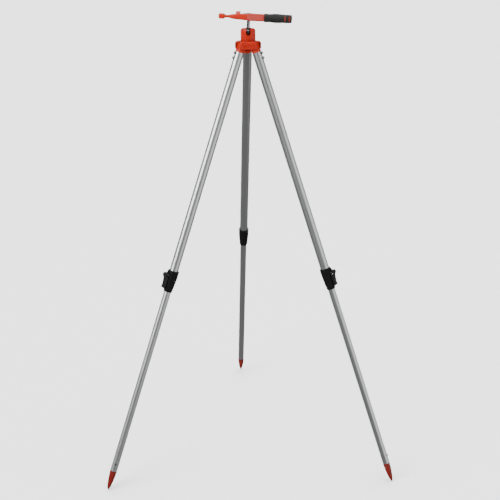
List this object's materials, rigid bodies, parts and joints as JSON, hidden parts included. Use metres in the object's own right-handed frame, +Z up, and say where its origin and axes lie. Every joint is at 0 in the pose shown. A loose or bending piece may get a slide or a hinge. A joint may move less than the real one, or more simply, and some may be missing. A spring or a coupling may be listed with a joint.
{
  "type": "laser level on tripod",
  "caption": "Torpedo laser level on a ball-head tripod with folding, telescopic aluminium legs, flip locks and pointed feet.",
  "frame": {"origin": "on the floor plane through the foot tips, in the middle of the part's outline seen from above", "axes": "+Z up, +Y towards the rear leg, +X towards the right leg's side and the instrument's grip end"},
  "size_m": [0.855, 0.742, 1.3514],
  "materials": {
    "orange": "satin orange moulding",
    "foot_orange": "satin orange moulding",
    "tube": "satin drawn tube",
    "lock": "black moulding",
    "lever": "black moulding",
    "steel": "zinc-plated",
    "chrome": "polished",
    "white_plastic": "natural acetal",
    "instrument_orange": "gloss orange moulding",
    "panel": "pinkish red plate",
    "button": "dusty red",
    "silver": "satin strip",
    "rubber": "fine matt",
    "band": "dark red inlay",
    "end_black": "black moulding",
    "brass": "turned",
    "lens": "clear",
    "vial": "yellow-green clear",
    "board": "green laminate",
    "cell": "foil sleeve"
  },
  "bodies": {
    "head": {"tripod_head": "orange", "ball_housing": "orange", "ball_seat": "white_plastic", "left_pivot_pin": "steel", "right_pivot_pin": "steel", "rear_pivot_pin": "steel"},
    "left_upper_leg": {"left_leg_socket": "orange", "left_socket_bolt_upper": "steel", "left_socket_bolt_lower": "steel", "left_upper_tube": "tube", "left_lock_collar": "lock", "left_lever_pin": "steel"},
    "left_lower_leg": {"left_lower_tube": "tube", "left_slide_bush": "lock", "left_foot_point": "foot_orange", "left_foot_bolt": "steel"},
    "left_lever": {"left_lock_lever": "lever"},
    "right_upper_leg": {"right_leg_socket": "orange", "right_socket_bolt_upper": "steel", "right_socket_bolt_lower": "steel", "right_upper_tube": "tube", "right_lock_collar": "lock", "right_lever_pin": "steel"},
    "right_lower_leg": {"right_lower_tube": "tube", "right_slide_bush": "lock", "right_foot_point": "foot_orange", "right_foot_bolt": "steel"},
    "right_lever": {"right_lock_lever": "lever"},
    "rear_upper_leg": {"rear_leg_socket": "orange", "rear_socket_bolt_upper": "steel", "rear_socket_bolt_lower": "steel", "rear_upper_tube": "tube", "rear_lock_collar": "lock", "rear_lever_pin": "steel"},
    "rear_lower_leg": {"rear_lower_tube": "tube", "rear_slide_bush": "lock", "rear_foot_point": "foot_orange", "rear_foot_bolt": "steel"},
    "rear_lever": {"rear_lock_lever": "lever"},
    "clamp_knob": {"clamp_knob": "lever"},
    "ball_stud": {"ball": "lever", "ball_stem": "chrome"},
    "instrument": {"casing_front_half": "instrument_orange", "casing_rear_half": "instrument_orange", "aperture_cap": "instrument_orange", "front_lens": "lens", "laser_module": "brass", "circuit_board": "board", "bubble_vial": "vial", "vial_cover": "silver", "side_panel": "panel", "rubber_grip": "rubber", "grip_band_front": "band", "grip_band_rear": "band", "battery_front": "cell", "battery_rear": "cell", "mount_insert": "brass"},
    "power_button": {"power_button": "button"},
    "end_cap": {"end_cap": "end_black"}
  },
  "joints": [
    {"name": "left_leg_fold", "type": "hinge", "parent": "head", "child": "left_upper_leg", "pos_m": [-0.01775, -0.13234, 1.26076], "axis": [0.5, -0.866, 0], "range_deg": [0, 20.5]},
    {"name": "left_leg_slide", "type": "slide", "parent": "left_upper_leg", "child": "left_lower_leg", "axis": [0.3033, 0.1751, 0.9367], "range_m": [0, 0.51]},
    {"name": "left_lever_swing", "type": "hinge", "parent": "left_upper_leg", "child": "left_lever", "pos_m": [-0.23643, -0.25859, 0.6388], "axis": [-0.5, 0.866, 0], "range_deg": [0, 58]},
    {"name": "right_leg_fold", "type": "hinge", "parent": "head", "child": "right_upper_leg", "pos_m": [0.01775, -0.13234, 1.26076], "axis": [0.5, 0.866, 0], "range_deg": [0, 20.5]},
    {"name": "right_leg_slide", "type": "slide", "parent": "right_upper_leg", "child": "right_lower_leg", "axis": [-0.3033, 0.1751, 0.9367], "range_m": [0, 0.51]},
    {"name": "right_lever_swing", "type": "hinge", "parent": "right_upper_leg", "child": "right_lever", "pos_m": [0.23643, -0.25859, 0.6388], "axis": [-0.5, -0.866, 0], "range_deg": [0, 58]},
    {"name": "rear_leg_fold", "type": "hinge", "parent": "head", "child": "rear_upper_leg", "pos_m": [0, -0.10159, 1.26076], "axis": [-1, 0, 0], "range_deg": [0, 20.5]},
    {"name": "rear_leg_slide", "type": "slide", "parent": "rear_upper_leg", "child": "rear_lower_leg", "axis": [0, -0.3502, 0.9367], "range_m": [0, 0.51]},
    {"name": "rear_lever_swing", "type": "hinge", "parent": "rear_upper_leg", "child": "rear_lever", "pos_m": [0, 0.15092, 0.6388], "axis": [1, 0, 0], "range_deg": [0, 58]},
    {"name": "clamp_turn", "type": "hinge", "parent": "head", "child": "clamp_knob", "pos_m": [0, -0.10149, 1.29376], "axis": [0, 1, 0], "continuous": true},
    {"name": "ball_tilt", "type": "hinge", "parent": "head", "child": "ball_stud", "pos_m": [0, -0.12209, 1.29376], "axis": [1, 0, 0], "range_deg": [-10, 88]},
    {"name": "instrument_swivel", "type": "hinge", "parent": "ball_stud", "child": "instrument", "pos_m": [0, -0.12209, 1.29376], "axis": [0.0454, 0, 0.999], "continuous": true},
    {"name": "button_press", "type": "slide", "parent": "instrument", "child": "power_button", "axis": [-0.0454, 0, -0.999], "range_m": [0, 0.0012], "stiffness_N_per_m": 900, "springref_m": -0.0008},
    {"name": "end_cap_turn", "type": "hinge", "parent": "instrument", "child": "end_cap", "pos_m": [0.11577, -0.12209, 1.33005], "axis": [0.999, 0, -0.0454], "range_deg": [0, 90]}
  ]
}
